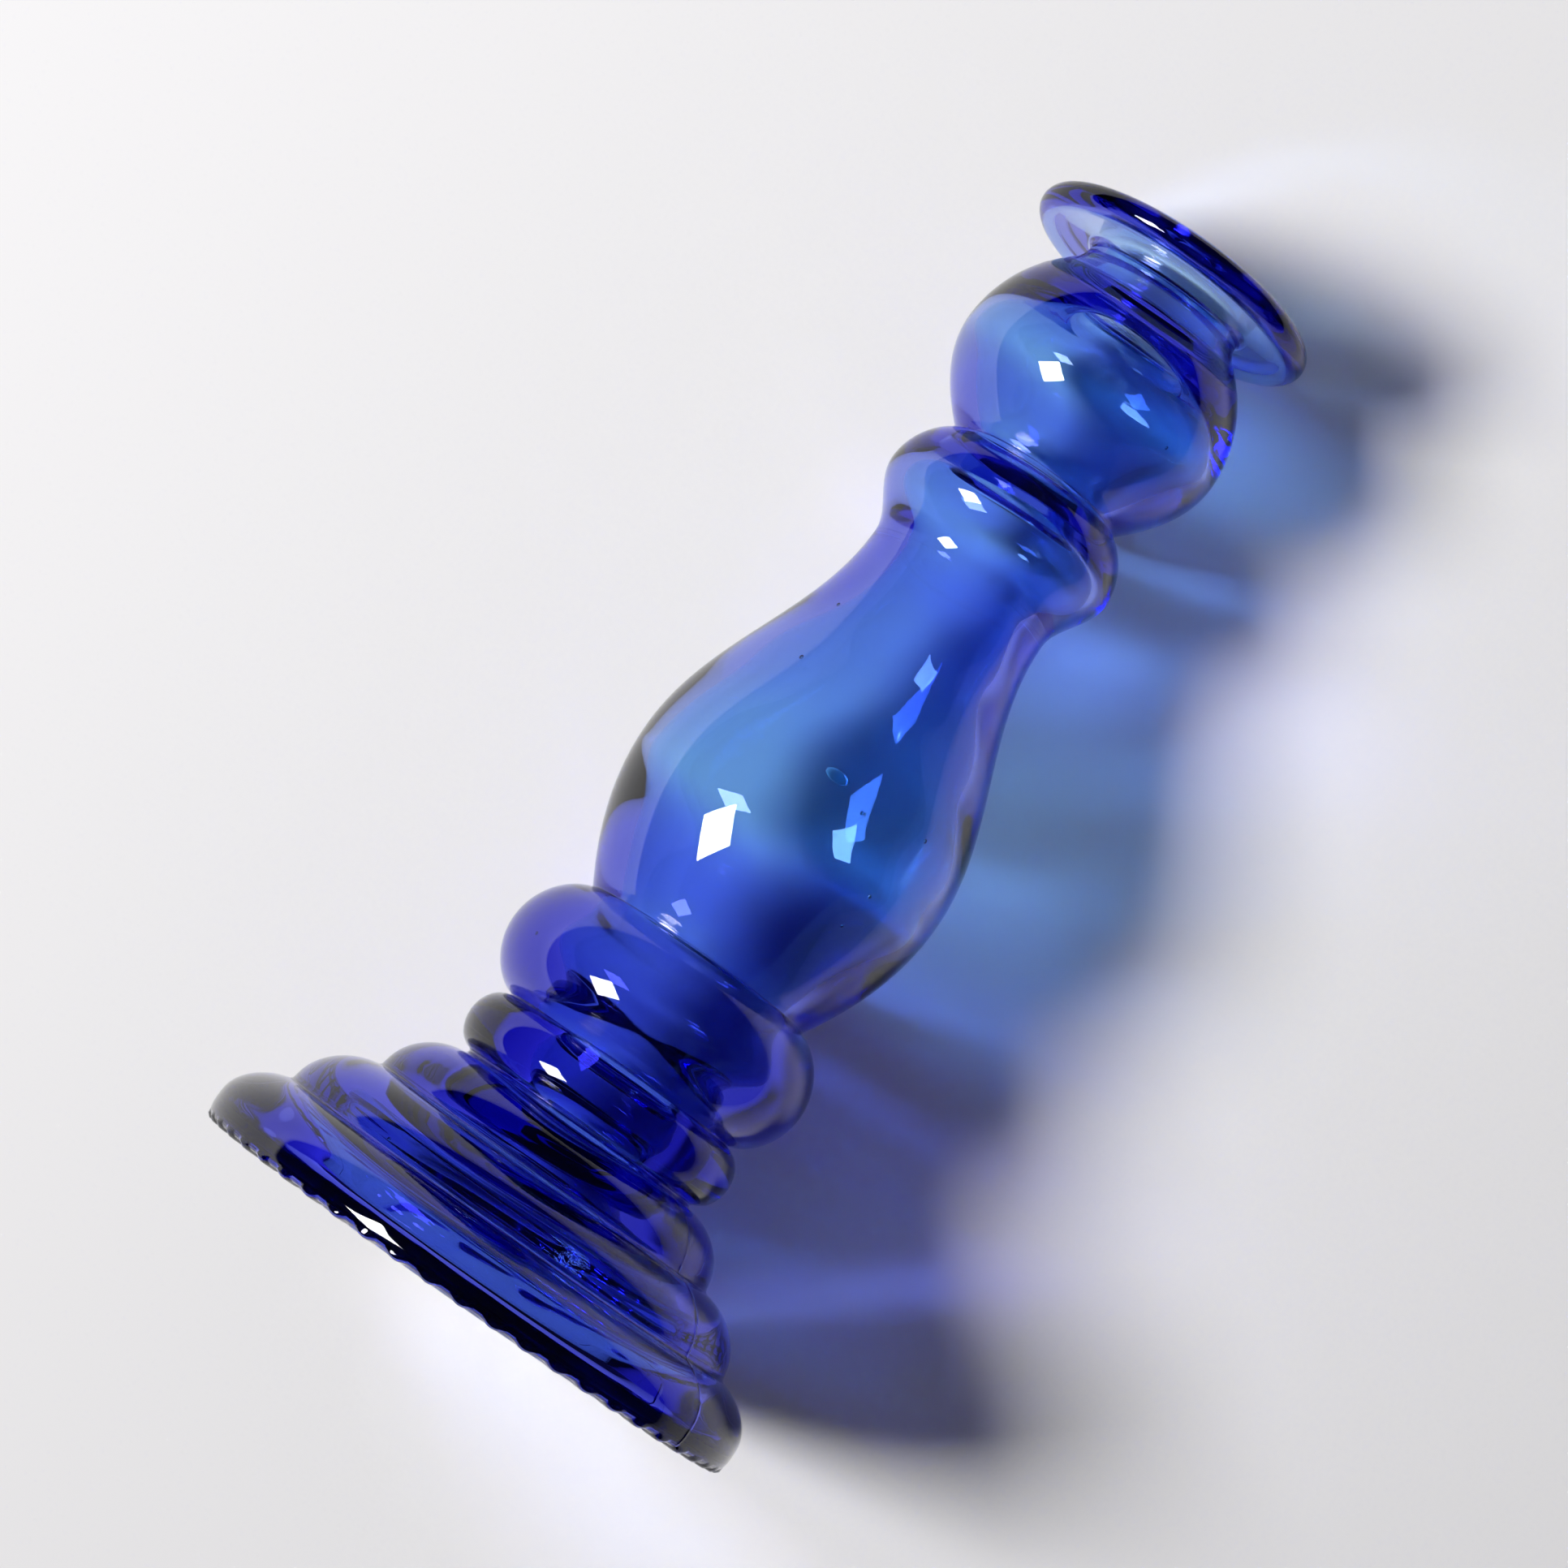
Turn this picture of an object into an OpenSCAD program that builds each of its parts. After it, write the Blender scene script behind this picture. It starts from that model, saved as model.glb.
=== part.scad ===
// Hollow glass candlestick of turned form, standing on its foot with its axis along +Z.
// The real object is one blown piece of glass. Each section between two grooves is a solid
// of its own here, and neighbouring sections meet face to face where the glass runs on.

/* [Foot] */
// Widest radius of the foot ring
foot_r = 48.9; // [48:0.1:55]
// Height of the foot ring above the table
foot_h = 12.2; // [11:0.1:16]
// Radius of the flat ring that the candlestick rests on, at its outer edge
rest_r = 47.3; // [46:0.1:47.8]
// Thickness of the glass in the floor
floor_t = 2.3; // [2:0.1:3]
// How far the middle of the floor is pushed up
kick_h = 0.7; // [0.3:0.1:1.5]
// Number of moulded pads round the resting ring
pad_count = 52; // [36:1:60]
// Height of the moulded pads
pad_h = 0.5; // [0.3:0.1:0.8]

/* [Steps above the foot] */
// Radius of the middle step
middle_r = 40.9; // [39:0.1:43]
// Height of the middle step
middle_h = 9.7; // [9:0.1:12]
// Radius of the upper step
upper_r = 30.9; // [29:0.1:33]
// Height of the upper step
upper_h = 10; // [9:0.1:12]

/* [Knops of the lower stem] */
// Widest radius of the small bead
bead_r = 24.7; // [23:0.1:27]
// Height of the small bead
bead_h = 10.6; // [9:0.1:13]
// Widest radius of the large ring knop
ring_r = 27.6; // [25:0.1:32]
// Height of the large ring knop
ring_h = 21.1; // [18:0.1:25]

/* [Baluster] */
// Widest radius of the baluster
belly_r = 28.1; // [25:0.1:33]
// Radius of its slender neck
waist_r = 16.3; // [15.5:0.1:18]
// Height from the groove below it to its slender neck
baluster_h = 72.9; // [65:0.1:85]

/* [Collar and globe] */
// Widest radius of the collar knop
collar_r = 20.9; // [19.5:0.1:24]
// Height of the collar knop
collar_h = 20.9; // [18:0.1:24]
// Widest radius of the globe knop
globe_r = 24; // [23:0.1:26]
// Height of the globe up to the foot of the candle socket
globe_h = 29.6; // [28:0.1:32]

/* [Socket and drip pan] */
// Radius of the hole that takes the candle
bore_r = 11.5; // [10.5:0.1:12]
// Length of the hole below the drip pan
socket_h = 7.8; // [6.5:0.1:10]
// Outer radius of the socket's neck
neck_r = 14.2; // [13.5:0.1:15]
// Outer radius of the drip pan
pan_r = 25.5; // [24:0.1:30]
// Height of the drip pan above the socket
pan_h = 5.2; // [5:0.1:7]

/* [Hidden] */
$fn = 96;
glass = [0.07, 0.16, 0.62, 0.6];

// Heights of the joints between the sections
foot_z = foot_h;
middle_z = foot_z + middle_h;
upper_z = middle_z + upper_h;
bead_z = upper_z + bead_h;
ring_z = bead_z + ring_h;
baluster_z = ring_z + baluster_h;
collar_z = baluster_z + collar_h;
globe_z = collar_z + globe_h;
socket_z = globe_z + socket_h;
top_z = socket_z + pan_h;

// Outer radii of the grooves at those joints
bead_groove_r = 20.9;
ring_groove_r = 20.3;
baluster_groove_r = 20;
globe_groove_r = 14.8;

// Thickness of the glass at the widest line of each swell of the stem
bead_wall = 11.7;
ring_wall = 7.6;
belly_wall = 2.3;
collar_wall = 3.3;
globe_wall = 2.3;
waist_wall = 4.6;

// Inner radii at the joints
foot_mouth_r = middle_r - 9;
middle_mouth_r = upper_r - 9.7;
upper_mouth_r = bead_groove_r - 7.4;
bead_mouth_r = ring_groove_r - 6.8;
ring_mouth_r = baluster_groove_r - 4;
waist_mouth_r = waist_r - waist_wall;
collar_mouth_r = globe_groove_r - 4;

// The hollow follows the steps at a distance: its widest line in the foot, then its shoulders
foot_hollow_r = foot_r - 9.9;
foot_hollow_z = 5.8;
foot_shoulder = [middle_r - 8.9, foot_z - 2.6];
middle_low = [middle_r - 9.2, foot_z + 1.8];
middle_shoulder = [upper_r - 9.3, middle_z - 1.5];
upper_shoulder = [bead_groove_r - 6.7, middle_z + 5.9];

// Levels of the foot: its widest line, the resting ring and the floor
foot_wide_z = 4.6;
heel_z = 3;
rest_in_r = 43.2;
pad_in_r = 44;
recess_r = 40.5;
recess_z = 1;
floor_r = 37;

// Levels of the widest lines of the other sections, outside and inside
bead_wide_z = upper_z + bead_h * 0.49;
ring_wide_z = bead_z + ring_h * 0.49;
ring_hollow_z = bead_z + ring_h * 0.53;
belly_wide_z = ring_z + baluster_h * 0.36;
belly_hollow_z = ring_z + baluster_h * 0.34;
collar_wide_z = baluster_z + collar_h * 0.54;
globe_wide_z = collar_z + globe_h * 0.55;

// Half heights of the globe's upper half, outside and inside
globe_top_h = 23.2;
globe_hollow_r = globe_r - globe_wall;
globe_hollow_h = (globe_z - globe_wide_z) / sqrt(1 - pow(bore_r / globe_hollow_r, 2));

// The drip pan's rim is a bead of glass
rim_r = 2.7;
rim_h = 2.5;
rim_c = [pan_r - rim_r, top_z - rim_h];
flare_r = 3.8;

// Outline from a groove up to a widest line. A power of 1 is an elliptical swell, and a
// higher one is leaner near the groove.
function rise(groove, wide, power, n = 12) = [
  for (i = [0 : n]) let (t = 90 * i / n)
    [groove.x + (wide.x - groove.x) * pow(sin(t), power), wide.y - (wide.y - groove.y) * cos(t)]
];

// The same from a widest line up to a groove
function fall(wide, groove, power, n = 12) = [
  for (i = [n : -1 : 0]) let (t = 90 * i / n)
    [groove.x + (wide.x - groove.x) * pow(sin(t), power), wide.y + (groove.y - wide.y) * cos(t)]
];

// A soft curve between two points that runs straight up at both of them
function ease(a, b, n = 10) = [
  for (i = [0 : n]) let (u = i / n)
    [a.x + (b.x - a.x) * (1 - cos(180 * u)) / 2, a.y + (b.y - a.y) * u]
];

// Part of an ellipse about the axis, of the given half axes, between two heights
function dome(centre_z, half, z_from, z_to, n = 10) = [
  for (i = [0 : n]) let (z = z_from + (z_to - z_from) * i / n)
    [half.x * sqrt(1 - pow((z - centre_z) / half.y, 2)), z]
];

// An arc about a centre, with a half width and a half height
function arc(centre, half, from, to, n = 8) = [
  for (i = [0 : n]) let (t = from + (to - from) * i / n)
    [centre.x + half.x * cos(t), centre.y + half.y * sin(t)]
];

function reversed(points) = [for (i = [len(points) - 1 : -1 : 0]) points[i]];

// Height of the floor's underside, or of its upper side with the glass thickness added
function floor_z(r, lift = 0) = recess_z + lift + kick_h * (1 + cos(180 * r / recess_r)) / 2;

// A glass section turned from an outer outline and an inner one, both listed upwards
module section(outer, inner) {
  color(glass) rotate_extrude() polygon(concat(outer, reversed(inner)));
}

module base_floor() {
  steps = [for (i = [0 : 12]) floor_r * i / 12];
  under = [for (r = steps) [r, floor_z(r)]];
  top = [for (r = steps) [r, floor_z(r, floor_t)]];
  color(glass) rotate_extrude() polygon(concat(under, reversed(top)));
}

module foot_ring() {
  underside = [
    for (i = [0 : 3]) let (r = floor_r + (recess_r - floor_r) * i / 3) [r, floor_z(r)]
  ];
  ring = [[rest_in_r, 0], [pad_in_r, 0], [pad_in_r, pad_h], [rest_r, pad_h]];
  heel = rise([rest_r, pad_h], [foot_r, heel_z], 0.5, 10);
  shoulder = fall([foot_r, foot_wide_z], [middle_r, foot_z], 1.4);
  corner = [foot_hollow_r - floor_r, foot_hollow_z - floor_z(floor_r, floor_t)];
  hollow = arc([floor_r, foot_hollow_z], corner, -90, 0);
  outer = concat(underside, ring, heel, shoulder);
  inner = concat(hollow, ease([foot_hollow_r, foot_hollow_z], foot_shoulder, 8),
                 ease(foot_shoulder, [foot_mouth_r, foot_z], 3));
  color(glass) {
    rotate_extrude() polygon(concat(outer, reversed(inner)));
    for (i = [0 : pad_count - 1]) rotate(360 * i / pad_count) resting_pad();
  }
}

// One moulded pad under the resting ring, let into the glass above it
module resting_pad() {
  pad_w = 2.9;
  bite = 0.4;
  reach = rest_r - pad_in_r + bite;
  translate([pad_in_r - bite, -pad_w / 2, 0]) cube([reach, pad_w, pad_h + bite]);
}

module middle_step() {
  section(
    fall([middle_r, foot_z], [upper_r, middle_z], 1.2),
    concat(ease([foot_mouth_r, foot_z], middle_low, 3), ease(middle_low, middle_shoulder, 10),
           ease(middle_shoulder, [middle_mouth_r, middle_z], 3))
  );
}

module upper_step() {
  section(
    concat(fall([upper_r, middle_z], [bead_groove_r + 0.3, upper_z - 0.8], 1.1),
           [[bead_groove_r, upper_z]]),
    concat(ease([middle_mouth_r, middle_z], upper_shoulder, 9),
           ease(upper_shoulder, [upper_mouth_r, upper_z], 3))
  );
}

module small_bead() {
  hollow = [bead_r - bead_wall, bead_wide_z];
  section(
    concat(rise([bead_groove_r, upper_z], [bead_r, bead_wide_z], 1),
           fall([bead_r, bead_wide_z], [ring_groove_r, bead_z], 1)),
    concat(ease([upper_mouth_r, upper_z], hollow), ease(hollow, [bead_mouth_r, bead_z]))
  );
}

module ring_knop() {
  hollow = [ring_r - ring_wall, ring_hollow_z];
  section(
    concat(rise([ring_groove_r, bead_z], [ring_r, ring_wide_z], 1.25),
           fall([ring_r, ring_wide_z], [baluster_groove_r, ring_z], 1.3)),
    concat(ease([bead_mouth_r, bead_z], hollow), ease(hollow, [ring_mouth_r, ring_z]))
  );
}

module baluster_stem() {
  hollow = [belly_r - belly_wall, belly_hollow_z];
  section(
    concat(rise([baluster_groove_r, ring_z], [belly_r, belly_wide_z], 2),
           ease([belly_r, belly_wide_z], [waist_r, baluster_z], 18)),
    concat(ease([ring_mouth_r, ring_z], hollow), ease(hollow, [waist_mouth_r, baluster_z], 16))
  );
}

module collar_knop() {
  hollow = [collar_r - collar_wall, collar_wide_z];
  section(
    concat(ease([waist_r, baluster_z], [collar_r, collar_wide_z]),
           fall([collar_r, collar_wide_z], [globe_groove_r, collar_z], 1.4)),
    concat(ease([waist_mouth_r, baluster_z], hollow), ease(hollow, [collar_mouth_r, collar_z]))
  );
}

module globe_knop() {
  section(
    concat(rise([globe_groove_r, collar_z], [globe_r, globe_wide_z], 2.1),
           dome(globe_wide_z, [globe_r, globe_top_h], globe_wide_z, globe_z)),
    concat(ease([collar_mouth_r, collar_z], [globe_hollow_r, globe_wide_z]),
           dome(globe_wide_z, [globe_hollow_r, globe_hollow_h], globe_wide_z, globe_z))
  );
}

module candle_socket() {
  shoulder_z = globe_z + socket_h * 0.43;
  shoulder = dome(globe_wide_z, [globe_r, globe_top_h], globe_z, shoulder_z, 4);
  neck = [
    for (i = [1 : 6]) let (u = i / 6)
      [neck_r + (shoulder[4].x - neck_r) * pow(1 - u, 2), shoulder_z + (socket_z - shoulder_z) * u]
  ];
  section(concat(shoulder, neck), [[bore_r, globe_z], [bore_r, socket_z]]);
}

module drip_pan() {
  fillet = 1.2;
  underside = arc([neck_r + fillet, socket_z], [fillet, fillet], 180, 110, 5);
  rim = arc(rim_c, [rim_r, rim_h], -110, 120, 14);
  dish = arc([bore_r + flare_r, socket_z], [flare_r, flare_r], 180, 105, 6);
  color(glass) rotate_extrude() polygon(concat(underside, rim, reversed(dish)));
}

base_floor();
foot_ring();
middle_step();
upper_step();
small_bead();
ring_knop();
baluster_stem();
collar_knop();
globe_knop();
candle_socket();
drip_pan();
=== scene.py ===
"""A hollow candlestick of mould-blown cobalt glass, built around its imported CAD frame.

The glass is one turned outline that runs from the middle of the underside, up the outside,
over the rim of the drip pan and down the inside to the floor. It is turned round the axis with
the small faults that blown glass has, and cut at the same grooves as the CAD sections, so that
each section is a closed piece that takes the place of its CAD node.
"""
import math
import bpy
import numpy as np
from mathutils import Matrix, Vector


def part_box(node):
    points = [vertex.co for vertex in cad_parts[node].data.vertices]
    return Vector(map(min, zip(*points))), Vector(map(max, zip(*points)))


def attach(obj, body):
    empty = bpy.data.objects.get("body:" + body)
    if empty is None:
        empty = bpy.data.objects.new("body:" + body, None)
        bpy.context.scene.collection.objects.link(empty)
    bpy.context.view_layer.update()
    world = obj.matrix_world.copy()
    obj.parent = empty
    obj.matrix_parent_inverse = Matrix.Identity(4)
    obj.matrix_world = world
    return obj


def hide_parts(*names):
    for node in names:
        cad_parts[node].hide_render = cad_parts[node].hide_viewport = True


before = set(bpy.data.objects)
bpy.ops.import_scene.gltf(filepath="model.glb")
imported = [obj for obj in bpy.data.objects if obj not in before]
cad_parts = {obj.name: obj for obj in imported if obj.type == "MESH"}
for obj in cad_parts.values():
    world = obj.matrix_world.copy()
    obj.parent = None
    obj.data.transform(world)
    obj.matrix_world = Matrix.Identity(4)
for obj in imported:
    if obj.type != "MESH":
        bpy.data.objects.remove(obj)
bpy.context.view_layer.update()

MM = 0.001
SECTIONS = [
    "base_floor", "foot_ring", "middle_step", "upper_step", "small_bead", "ring_knop",
    "baluster_stem", "collar_knop", "globe_knop", "candle_socket", "drip_pan",
]

# ---------------------------------------------------------------------------
# Sizes in millimetres. Heights and widest radii come from the CAD sections.
# ---------------------------------------------------------------------------
BOX = {name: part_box(name) for name in SECTIONS}
LOW = {name: BOX[name][0].z / MM for name in SECTIONS}
TOP = {name: BOX[name][1].z / MM for name in SECTIONS}
WIDE = {name: BOX[name][1].x / MM for name in SECTIONS}
FLOOR_R = WIDE["base_floor"]
FOOT_TOP = TOP["foot_ring"]

# The underside: a pushed-up floor, a strip that the foot stands on, and pads outside the strip
RECESS_R, RECESS_Z, KICK_H, FLOOR_T = 40.5, 1.0, 0.7, 2.3
STRIP_IN_R, STRIP_R, PADS_IN_R, REST_R = 43.2, 44.0, 44.4, 47.3
PAD_COUNT, PAD_H = 52, 0.5
HEEL_Z, FOOT_WIDE_Z = 3.0, 4.6

# Grooves and the waist of the outside, as radius and height
MIDDLE_GROOVE = (WIDE["middle_step"], FOOT_TOP)
UPPER_GROOVE = (WIDE["upper_step"], TOP["middle_step"])
BEAD_GROOVE = (20.9, TOP["upper_step"])
RING_GROOVE = (20.3, TOP["small_bead"])
BALUSTER_GROOVE = (20.0, TOP["ring_knop"])
WAIST = (16.3, TOP["baluster_stem"])
GLOBE_GROOVE = (14.8, TOP["collar_knop"])
STEP_END_OUT, STEP_END_DOWN = 0.3, 0.8     # where the upper step ends, from the bead's groove

# Where a bulge is widest, as a share of the way up its section
BULGE_AT = {
    "small_bead": 0.49, "ring_knop": 0.49, "baluster_stem": 0.36, "collar_knop": 0.54,
    "globe_knop": 0.55,
}
HOLLOW_AT = {
    "small_bead": 0.49, "ring_knop": 0.53, "baluster_stem": 0.34, "collar_knop": 0.54,
    "globe_knop": 0.55,
}

# How full each curve between a bulge and a groove is: the power of its sine, below 1 for fuller
HEEL_POWER, FOOT_POWER, MIDDLE_POWER, UPPER_POWER = 0.5, 1.4, 1.2, 1.1
BEAD_POWER, RING_LOW_POWER, RING_HIGH_POWER = 1.0, 1.25, 1.3
BELLY_POWER, COLLAR_POWER, GLOBE_POWER = 2.0, 1.4, 2.1

# Shoulder, neck, hole and drip pan
SHOULDER_HALF_H, SHOULDER_AT = 23.2, 0.43
NECK_R, BORE_R = 14.2, 11.5
RIM_R, RIM_H, FLARE_R, PAN_FILLET = 2.7, 2.5, 3.8, 1.2
FILLET_END, RIM_START, RIM_END, FLARE_START = 110, -110, 120, 105     # degrees

# Thickness of the wall, measured level
FOOT_WALL, STEP_GROOVE_WALL, BEAD_WALL, BEAD_GROOVE_WALL = 9.9, 7.4, 11.7, 6.8
RING_WALL, BALUSTER_GROOVE_WALL, BELLY_WALL, WAIST_WALL = 7.6, 4.0, 2.3, 4.6
COLLAR_WALL, GLOBE_GROOVE_WALL, GLOBE_WALL = 3.3, 4.0, 2.3
HOLLOW_Z = 5.8                                    # top of the hollow's rounded corner
# The hollow in the steps: a groove, the wall inside its radius, and the height over it
STEP_WALLS = [
    (MIDDLE_GROOVE, 8.9, -2.6),
    (MIDDLE_GROOVE, 9.0, 0.0),
    (MIDDLE_GROOVE, 9.2, 1.8),
    (UPPER_GROOVE, 9.3, -1.5),
    (UPPER_GROOVE, 9.7, 0.0),
]
STEP_SHOULDER_WALL, STEP_SHOULDER_RISE = 6.7, 5.9


# ---------------------------------------------------------------------------
# Heights and points of the outline. A point is its radius and its height.
# ---------------------------------------------------------------------------
def floor_z(r, lift=0.0):
    """Height of the pushed-up underside, or of the floor at a lift over it."""
    return RECESS_Z + lift + KICK_H * (1 + np.cos(math.pi * np.asarray(r) / RECESS_R)) / 2


def level(name, share):
    """Height at a share of the way up a section."""
    return LOW[name] + (TOP[name] - LOW[name]) * share


def bulge(name):
    """The widest point of a section's outside."""
    return [WIDE[name], level(name, BULGE_AT[name])]


def hollow(name, wall):
    """The widest point of a section's inside."""
    return [WIDE[name] - wall, level(name, HOLLOW_AT[name])]


def inward(point, wall, lift=0.0):
    """A point moved towards the axis, and up by a lift."""
    return [point[0] - wall, point[1] + lift]


# ---------------------------------------------------------------------------
# Curves of the outline, as rows of points
# ---------------------------------------------------------------------------
def rise(groove, wide, power, n=40):
    """From a groove up to the widest place of a bulge."""
    t = np.linspace(0, math.pi / 2, n)
    r = groove[0] + (wide[0] - groove[0]) * np.sin(t) ** power
    return np.stack([r, wide[1] - (wide[1] - groove[1]) * np.cos(t)], 1)


def fall(wide, groove, power, n=40):
    """From the widest place of a bulge up to the groove above it."""
    t = np.linspace(math.pi / 2, 0, n)
    r = groove[0] + (wide[0] - groove[0]) * np.sin(t) ** power
    return np.stack([r, wide[1] + (groove[1] - wide[1]) * np.cos(t)], 1)


def ease(low, high, n=40):
    """A soft S between two points, upright at both."""
    u = np.linspace(0, 1, n)
    r = low[0] + (high[0] - low[0]) * (1 - np.cos(math.pi * u)) / 2
    return np.stack([r, low[1] + (high[1] - low[1]) * u], 1)


def dome(centre_z, half, z_from, z_to, n=40):
    """Part of an ellipse round a point on the axis."""
    z = np.linspace(z_from, z_to, n)
    return np.stack([half[0] * np.sqrt(1 - ((z - centre_z) / half[1]) ** 2), z], 1)


def arc(centre, half, start, end, n=24):
    """Part of an ellipse round any point, between two angles in degrees."""
    t = np.radians(np.linspace(start, end, n))
    return np.stack([centre[0] + half[0] * np.cos(t), centre[1] + half[1] * np.sin(t)], 1)


def shoulder_and_neck():
    """From the globe's widest place over its shoulder and up the neck."""
    globe_r, globe_z = bulge("globe_knop")
    shoulder_z, neck_top = level("candle_socket", SHOULDER_AT), TOP["candle_socket"]
    shoulder = dome(globe_z, [globe_r, SHOULDER_HALF_H], globe_z, shoulder_z, n=60)
    u = np.linspace(0, 1, 20)[1:]
    neck_r = NECK_R + (shoulder[-1][0] - NECK_R) * (1 - u) ** 2
    neck = np.stack([neck_r, shoulder_z + (neck_top - shoulder_z) * u], 1)
    return np.concatenate([shoulder, neck])


def pan():
    """From the neck out under the drip pan, over its rolled rim and in to the hole."""
    z = TOP["candle_socket"]
    rim = [WIDE["drip_pan"] - RIM_R, TOP["drip_pan"] - RIM_H]
    return np.concatenate([
        arc([NECK_R + PAN_FILLET, z], [PAN_FILLET, PAN_FILLET], 180, FILLET_END),
        arc(rim, [RIM_R, RIM_H], RIM_START, RIM_END, n=60),
        arc([BORE_R + FLARE_R, z], [FLARE_R, FLARE_R], FLARE_START, 180),
    ])


def outside():
    """The outside from the middle of the underside to the hole in the drip pan."""
    radii = np.linspace(0, RECESS_R, 40)
    foot_r = WIDE["foot_ring"]
    step_end = inward(BEAD_GROOVE, -STEP_END_OUT, -STEP_END_DOWN)
    bead, ring, belly = bulge("small_bead"), bulge("ring_knop"), bulge("baluster_stem")
    collar, globe = bulge("collar_knop"), bulge("globe_knop")
    return np.concatenate([
        np.stack([radii, floor_z(radii)], 1),
        [[STRIP_IN_R, 0.0], [STRIP_R, 0.0], [PADS_IN_R, PAD_H], [REST_R, PAD_H]],
        rise([REST_R, PAD_H], [foot_r, HEEL_Z], HEEL_POWER),
        fall([foot_r, FOOT_WIDE_Z], MIDDLE_GROOVE, FOOT_POWER),
        fall(MIDDLE_GROOVE, UPPER_GROOVE, MIDDLE_POWER),
        fall(UPPER_GROOVE, step_end, UPPER_POWER),
        rise(BEAD_GROOVE, bead, BEAD_POWER),
        fall(bead, RING_GROOVE, BEAD_POWER),
        rise(RING_GROOVE, ring, RING_LOW_POWER),
        fall(ring, BALUSTER_GROOVE, RING_HIGH_POWER),
        rise(BALUSTER_GROOVE, belly, BELLY_POWER, n=80),
        ease(belly, WAIST, n=100),
        ease(WAIST, collar),
        fall(collar, GLOBE_GROOVE, COLLAR_POWER),
        rise(GLOBE_GROOVE, globe, GLOBE_POWER),
        shoulder_and_neck(),
        pan(),
    ])


def inside():
    """The inside from the hole in the drip pan down to the middle of the floor."""
    foot_hollow_r = WIDE["foot_ring"] - FOOT_WALL
    corner_h = HOLLOW_Z - float(floor_z(FLOOR_R, FLOOR_T))
    globe_r, globe_z = hollow("globe_knop", GLOBE_WALL)
    globe_h = (TOP["globe_knop"] - globe_z) / math.sqrt(1 - (BORE_R / globe_r) ** 2)
    line = [[foot_hollow_r, HOLLOW_Z]]
    line += [inward(groove, wall, over) for groove, wall, over in STEP_WALLS]
    line += [
        [BEAD_GROOVE[0] - STEP_SHOULDER_WALL, TOP["middle_step"] + STEP_SHOULDER_RISE],
        inward(BEAD_GROOVE, STEP_GROOVE_WALL),
        hollow("small_bead", BEAD_WALL),
        inward(RING_GROOVE, BEAD_GROOVE_WALL),
        hollow("ring_knop", RING_WALL),
        inward(BALUSTER_GROOVE, BALUSTER_GROOVE_WALL),
        hollow("baluster_stem", BELLY_WALL),
        inward(WAIST, WAIST_WALL),
        hollow("collar_knop", COLLAR_WALL),
        inward(GLOBE_GROOVE, GLOBE_GROOVE_WALL),
        [globe_r, globe_z],
    ]
    radii = np.linspace(0, FLOOR_R, 40)
    upwards = [
        np.stack([radii, floor_z(radii, FLOOR_T)], 1),
        arc([FLOOR_R, HOLLOW_Z], [foot_hollow_r - FLOOR_R, corner_h], -90, 0),
    ]
    upwards += [ease(low, high, n=60) for low, high in zip(line, line[1:])]
    upwards.append(dome(globe_z, [globe_r, globe_h], globe_z, TOP["globe_knop"]))
    upwards.append(np.array([[BORE_R, TOP["globe_knop"]], [BORE_R, TOP["candle_socket"]]]))
    return np.concatenate(upwards)[::-1]


# ---------------------------------------------------------------------------
# The smooth closed outline, and its cuts at the joints
# ---------------------------------------------------------------------------
FINE = 0.05          # spacing of the working outline
SOFTNESS = 0.42      # how far corners are softened, as the standard deviation of a blur
BLUR_REACH = 4       # how far the blur looks, in standard deviations


def along(curve):
    """Distance along a curve at each of its points."""
    return np.concatenate([[0], np.cumsum(np.hypot(*np.diff(curve, axis=0).T))])


def resample(curve, distances):
    """The points of a curve at given distances along it."""
    s = along(curve)
    return np.stack([np.interp(distances, s, curve[:, k]) for k in range(2)], 1)


def soft_outline():
    """The whole outline with its corners softened, at an even fine spacing."""
    curve = np.concatenate([outside(), inside()])
    keep = np.concatenate([[True], np.hypot(*np.diff(curve, axis=0).T) > 1e-6])
    curve = curve[keep]
    curve = resample(curve, np.arange(0, along(curve)[-1], FINE))
    reach = int(BLUR_REACH * SOFTNESS / FINE)
    mirror = np.array([-1, 1])
    before, after = curve[reach:0:-1] * mirror, curve[-2:-reach - 2:-1] * mirror
    mirrored = np.concatenate([before, curve, after])
    x = np.arange(-reach, reach + 1) * FINE
    kernel = np.exp(-0.5 * (x / SOFTNESS) ** 2)
    kernel /= kernel.sum()
    soft = np.stack([np.convolve(mirrored[:, k], kernel, "valid") for k in range(2)], 1)
    soft[0, 0] = soft[-1, 0] = 0.0
    return soft


OUTLINE = soft_outline()
S = along(OUTLINE)                        # distance along the outline, called s below
TURN = int(np.argmax(OUTLINE[:, 1]))      # the crest of the rim, where outside turns to inside


def crossing(value, axis, half):
    """Distance along the outline where its radius (axis 0) or height (axis 1) takes a value."""
    span = slice(0, TURN) if half == "outside" else slice(TURN, len(OUTLINE))
    off, s = OUTLINE[span, axis] - value, S[span]
    hits = np.nonzero(np.diff(np.sign(off)))[0]
    i = hits[0] if (half == "outside") == (axis == 0) else hits[-1]
    return s[i] + (s[i + 1] - s[i]) * off[i] / (off[i] - off[i + 1])


def cuts():
    """Where each joint crosses the outline, outside then inside."""
    made = {"base_floor": (crossing(FLOOR_R, 0, "outside"), crossing(FLOOR_R, 0, "inside"))}
    for name in SECTIONS[1:-1]:
        made[name] = (crossing(TOP[name], 1, "outside"), crossing(TOP[name], 1, "inside"))
    return made


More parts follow.
